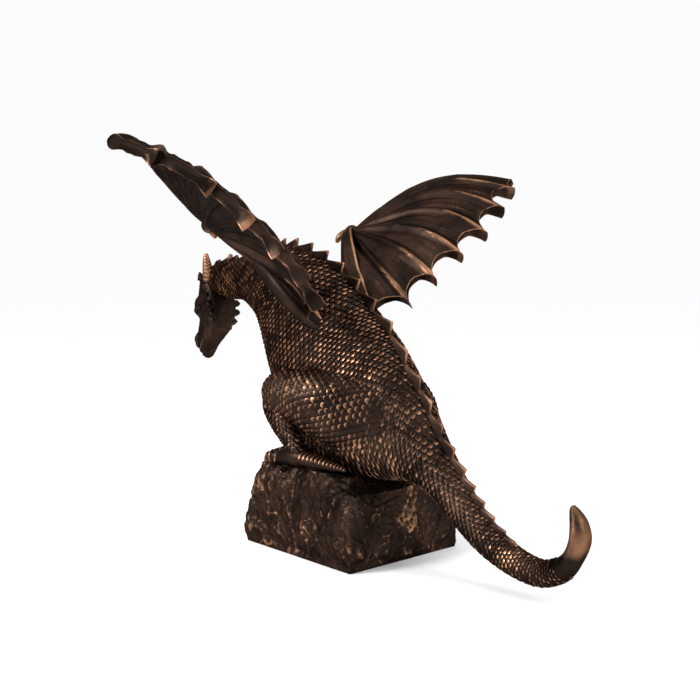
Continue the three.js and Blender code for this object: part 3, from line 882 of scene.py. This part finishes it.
def work_over(spots, outs, lines):
    """Carves (depth below 0) or raises lines of (points, half width, height, rub) on both sides of the head."""
    lift = np.zeros(len(spots))
    rubbed = np.zeros(len(spots))
    folded = np.stack([np.abs(spots[:, 0]), spots[:, 1], spots[:, 2]], axis=1)
    for points, width, height, rub in lines:
        points = np.asarray(points, dtype=float)
        near = np.full(len(spots), np.inf)
        for one, two in zip(points[:-1], points[1:]):
            run = two - one
            t = np.clip((folded - one) @ run / (run @ run), 0, 1)
            near = np.minimum(near, np.linalg.norm(folded - one - t[:, None] * run, axis=1))
        shape = np.exp(-((near / width) ** 2))
        lift += height * shape
        rubbed = np.maximum(rubbed, rub * shape)
    return spots + outs * lift[:, None], rubbed


def read_mesh(mesh):
    spots = np.empty(len(mesh.vertices) * 3, dtype=np.float32)
    outs = np.empty(len(mesh.vertices) * 3, dtype=np.float32)
    mesh.vertices.foreach_get("co", spots)
    mesh.vertex_normals.foreach_get("vector", outs)
    return spots.reshape(-1, 3).astype(float) / MM, outs.reshape(-1, 3).astype(float)


head_parts = [skin(middle_form(SKULL, -CHEEK_WIDENING * 0.7, 0.06, 0.72), 120, 80)]
for side in (False, True):
    head_parts += [skin(limb_form(BROW, 0.1), 30, 20, mirrored=side), skin(limb_form(BROW_SPIKE, 0.04), 16, 16, mirrored=side)]
    head_parts += [skin(limb_form(NOSTRIL, 0.2), 24, 18, mirrored=side)]
    head_parts += [skin(limb_form(frill_spike(tip), 0.02), 20, 16, mirrored=side) for tip in FRILL_TIPS]
head_mesh = fused(head_parts, voxel=0.62, smoothing=3)
head_spots, head_outs = read_mesh(head_mesh)
MOUTH = [(2, -204, 134), (6, -196, 141), (8, -190, 150), (10.5, -184, 159), (13.5, -179, 168), (14.5, -176, 173)]
head_spots, head_rub = work_over(head_spots, head_outs, [
    (MOUTH, 1.0, -1.9, 0.0),
    ([(x, y - 2.6, z + 1.2) for x, y, z in MOUTH], 1.1, 0.7, 0.75),
    ([(x, y + 2.6, z - 1.2) for x, y, z in MOUTH], 1.0, 0.5, 0.6),
    ([(10.5, -190, 178), (12.5, -194, 180.5), (11.5, -199, 178)], 2.4, -0.8, 0.0),
    ([(11, -186, 192), (13.5, -192, 187.5), (12.5, -199, 182.5), (10, -204, 177)], 1.3, 0.9, 1.0),
    ([(11, -188, 173), (12, -194, 174), (10.5, -200, 173)], 1.2, 0.6, 0.7),
    ([(7.5, -206, 172), (8.0, -206, 164), (6.5, -206, 156)], 1.1, -0.9, 0.0),
    ([(10.5, -201, 170), (9.5, -201, 162), (7.5, -202, 155)], 1.1, 0.8, 0.9),
    ([(11.5, -196, 170), (10.5, -196, 162), (8.5, -197, 154), (7, -200, 147)], 1.0, -0.8, 0.0),
    ([(12.5, -190, 170), (11, -190, 162), (9, -192, 155)], 1.0, 0.6, 0.8),
    ([(4.8, -210, 148.5), (5.4, -209, 147)], 1.5, -2.2, 0.0),
    ([(0, -207, 196), (0, -207, 186), (0, -208, 176), (0, -209.5, 166), (0, -210, 158)], 1.6, 0.8, 0.8),
    ([(4, -206, 190), (4.5, -207.5, 178), (4, -209, 166)], 1.0, -0.6, 0.0),
])
pebbles = np.array([noise.voronoi(spot * 0.42)[0][:2] for spot in map(Vector, head_spots)])
cells = np.clip((pebbles[:, 1] - pebbles[:, 0]) * 3.0, 0, 1)
head_spots += head_outs * (0.4 * (cells - 0.5))[:, None]
head_rub = np.clip(np.maximum(head_rub, 0.42 * cells), 0, 1)
frill_near = np.min([np.linalg.norm(np.abs(head_spots * (1, 0, 0)) + head_spots * (0, 1, 1) - tip, axis=1) for tip in FRILL_TIPS], axis=0)
head_rub = np.maximum(head_rub, 0.55 * np.exp(-((frill_near / 3.0) ** 2)))
head_mesh.vertices.foreach_set("co", (head_spots * MM).astype(np.float32).ravel())
set_rub(head_mesh, head_rub)
head_mesh.update()
piece("head", head_mesh, hide_bronze, "dragon", sharp=180)


# ---- Horns and eyes ----
# Two short ringed horns stand up behind the brows; each eye is a plain polished ball under its lid.

def horn_rings(u, v):
    return 0.1 * np.cos(2 * np.pi * u * 9) * np.clip((1 - u) / 0.25, 0, 1)


horn_mesh = limb_mesh(
    "horn", HORN, 130, 32, 0.04, grow=horn_rings, rub=lambda u, v: 0.5 + 0.25 * u + 1.2 * horn_rings(u, v)
)
eye_form = bmesh.new()
bmesh.ops.create_uvsphere(eye_form, u_segments=28, v_segments=18, radius=2.5 * MM)
bmesh.ops.translate(eye_form, verts=eye_form.verts, vec=Vector((10.9, -191.8, 179.4)) * MM)
eye_mesh = bpy.data.meshes.new("eye")
eye_form.to_mesh(eye_mesh)
eye_form.free()
set_rub(eye_mesh, np.full(len(eye_mesh.vertices), 0.35))
horn_whole = joined("horn", [horn_mesh, eye_mesh])
piece("left_horn_and_eye", horn_whole, hide_bronze, "dragon", sharp=60)
piece("right_horn_and_eye", mirrored_copy(horn_whole), hide_bronze, "dragon", sharp=60)


# ---- Feet ----
# Three clawed toes grip the front edge of the rock and one long toe lies back along its top, covered in
# close rib-like plates.

FOOT = np.array([
    (41, 0, 71, 6, 5),
    (41, -10, 71, 9, 7.5),
    (41, -21, 70.5, 10, 7),
    (41, -31, 69, 10, 5.5),
    (41, -37, 68, 8, 4),
])
SPUR = np.array([
    (42, -22, 70, 7, 5.5),
    (42.5, -4, 70.5, 6.5, 5.5),
    (42.5, 14, 70, 5.2, 4.6),
    (42, 30, 69, 3.4, 3),
    (41.5, 42, 68, 1.2, 1.2),
])
TOE_SPREAD = 8
TOE_ENDS = (-51, -48, -43)


def toe_rows(number, end):
    x = 41 + (number - 1) * TOE_SPREAD
    return np.array([
        (41 + (number - 1) * 5, -30, 68.5, 4, 4),
        (x, end + 10, 69.5, 4, 4.4),
        (x, end + 4, 68, 3.4, 4),
        (x, end, 64.5, 1.4, 1.6),
    ])


def plates(u, v):
    """Close plates across the top of a toe."""
    over = np.clip(np.cos(2 * np.pi * (v - 0.5)) * 1.6, 0, 1) ** 0.5
    step = (u * 17) % 1.0
    return (0.9 * (1 - np.abs(step - 0.45) / 0.55) - 0.35) * over * np.clip((1 - u) / 0.06, 0, 1)


foot_parts = [
    limb_mesh("foot", FOOT, 60, 40, 0.12, rub=lambda u, v: 0.2 + 0 * u),
    limb_mesh("spur", SPUR, 230, 36, 0.04, grow=plates, rub=lambda u, v: 0.35 + 1.3 * plates(u, v)),
]
for number, end in enumerate(TOE_ENDS):
    foot_parts.append(limb_mesh(
        "toe", toe_rows(number, end), 90, 28, 0.04,
        grow=lambda u, v: 0.5 * np.cos(2 * np.pi * u * 5) * (u < 0.68),
        rub=lambda u, v: np.where(u > 0.7, 0.75, 0.3 + 0.45 * np.cos(2 * np.pi * u * 5)),
    ))
foot_whole = joined("foot", foot_parts)
piece("left_foot", foot_whole, hide_bronze, "dragon", sharp=60)
piece("right_foot", mirrored_copy(foot_whole), hide_bronze, "dragon", sharp=60)


# ---- Rock plinth ----
# A block of rough-hewn rock cast in the same bronze: broad chisel facets, deep creases and a web of
# root-like ridges on its sides, with their backs rubbed bright.

ROCK_WIDTH, ROCK_LENGTH, ROCK_HEIGHT = 108, 120, 64
ROCK_LAYERS = [
    # height, size and the corners front left, front right, rear right, rear left as shares of the half sizes
    (0, 1.0, [(1, -1), (-1, -1), (-1, 1), (1, 1)]),
    (12, 1.02, [(1, -1.03), (-1.02, -1), (-1, 1), (1, 1.01)]),
    (34, 0.99, [(0.97, -0.96), (-0.98, -0.97), (-0.96, 0.98), (1, 0.98)]),
    (52, 0.97, [(0.95, -0.9), (-0.95, -0.92), (-0.94, 0.95), (1, 0.97)]),
    (64, 0.86, [(0.95, -0.95), (-0.95, -0.98), (-0.9, 0.86), (0.86, 0.86)]),
]
ROCK_AROUND, ROCK_UP, ROCK_OVER = 420, 110, 70


def rock_outline(turn, height):
    layers = []
    for _, grow, corners in ROCK_LAYERS:
        ring = np.array(corners + corners[:1]) * grow
        layers.append(np.stack([np.interp(turn * 4, range(5), ring[:, k]) for k in (0, 1)], axis=1))
    layers = np.array(layers)
    heights = [layer[0] for layer in ROCK_LAYERS]
    place = np.clip(np.interp(height, heights, range(5)), 0, 3.9999)
    low = place.astype(int)
    part = (place - low)[:, None]
    pick = np.arange(len(turn))
    outline = layers[low, pick] * (1 - part) + layers[low + 1, pick] * part
    return outline * (ROCK_WIDTH / 2, ROCK_LENGTH / 2)


rock_form = bmesh.new()
bmesh.ops.create_grid(rock_form, x_segments=ROCK_AROUND, y_segments=ROCK_UP + ROCK_OVER, size=1.0)
flat = np.array([v.co[:2] for v in rock_form.verts]) / 2 + 0.5
row = np.round(flat[:, 1] * (ROCK_UP + ROCK_OVER))
turn, height = flat[:, 0], np.clip(row / ROCK_UP, 0, 1) * ROCK_HEIGHT
inward = np.clip((row - ROCK_UP) / ROCK_OVER, 0, 1)[:, None]
outline = rock_outline(turn, height) * (1 - inward)
rock_spots = np.stack([outline[:, 0], outline[:, 1], height], axis=1)
for vert, spot in zip(rock_form.verts, rock_spots):
    vert.co = spot * MM
bmesh.ops.remove_doubles(rock_form, verts=rock_form.verts, dist=2e-5)
bmesh.ops.holes_fill(rock_form, edges=rock_form.edges, sides=0)
bmesh.ops.recalc_face_normals(rock_form, faces=rock_form.faces)
rock_mesh = bpy.data.meshes.new("rock")
rock_form.to_mesh(rock_mesh)
rock_form.free()
for pass_number in range(2):
    rock_spots, rock_outs = read_mesh(rock_mesh)
    if pass_number == 0:
        soft = rock_outs.copy()
near_cell = np.array([noise.voronoi(Vector(spot) * 0.03)[0][:2] for spot in rock_spots])
broad = np.array([noise.noise(Vector(spot) * 0.028) for spot in rock_spots])
mid = np.array([noise.fractal(Vector(spot) * 0.07, 0.9, 2.1, 4) for spot in rock_spots])
fine = np.array([noise.fractal(Vector(spot) * 0.3, 0.7, 2.2, 4) for spot in rock_spots])
winding = rock_spots * (0.05, 0.05, 0.022) + 0.35 * np.array([noise.noise_vector(Vector(spot) * 0.08) for spot in rock_spots])
veins = 1 - np.abs([noise.noise(Vector(spot)) for spot in winding]) / 0.07
thin_veins = 1 - np.abs([noise.noise(Vector(spot) * 2.3 + Vector((7, 3, 5))) for spot in winding]) / 0.11
crease = np.clip((near_cell[:, 1] - near_cell[:, 0]) / 0.1, 0, 1)
side_wall = smooth_step(0.25, 0.7, 1 - np.abs(soft[:, 2]))
vein = (np.clip(veins, 0, 1) + 0.5 * np.clip(thin_veins, 0, 1)) * side_wall
lift = 4.0 * broad + 1.4 * mid + 0.5 * fine + 0.7 * vein - 0.5 * (1 - crease) * side_wall
lift *= smooth_step(0.0, 5.0, rock_spots[:, 2])
lift = np.where(rock_spots[:, 2] > 62.5, np.minimum(lift, 0) * 0.6, lift)
rock_spots = rock_spots + soft * lift[:, None]
rock_spots[:, 2] = np.clip(rock_spots[:, 2], 0, ROCK_HEIGHT + 0.1)
rock_rub = np.clip(0.2 + 0.36 * np.clip(vein, 0, 1) + 0.3 * fine + 0.25 * np.clip(mid, 0, 1), 0, 1)
rock_mesh.vertices.foreach_set("co", (rock_spots * MM).astype(np.float32).ravel())
set_rub(rock_mesh, rock_rub)
rock_mesh.update()
piece("rock", rock_mesh, hide_bronze, "rock_plinth", sharp=35)
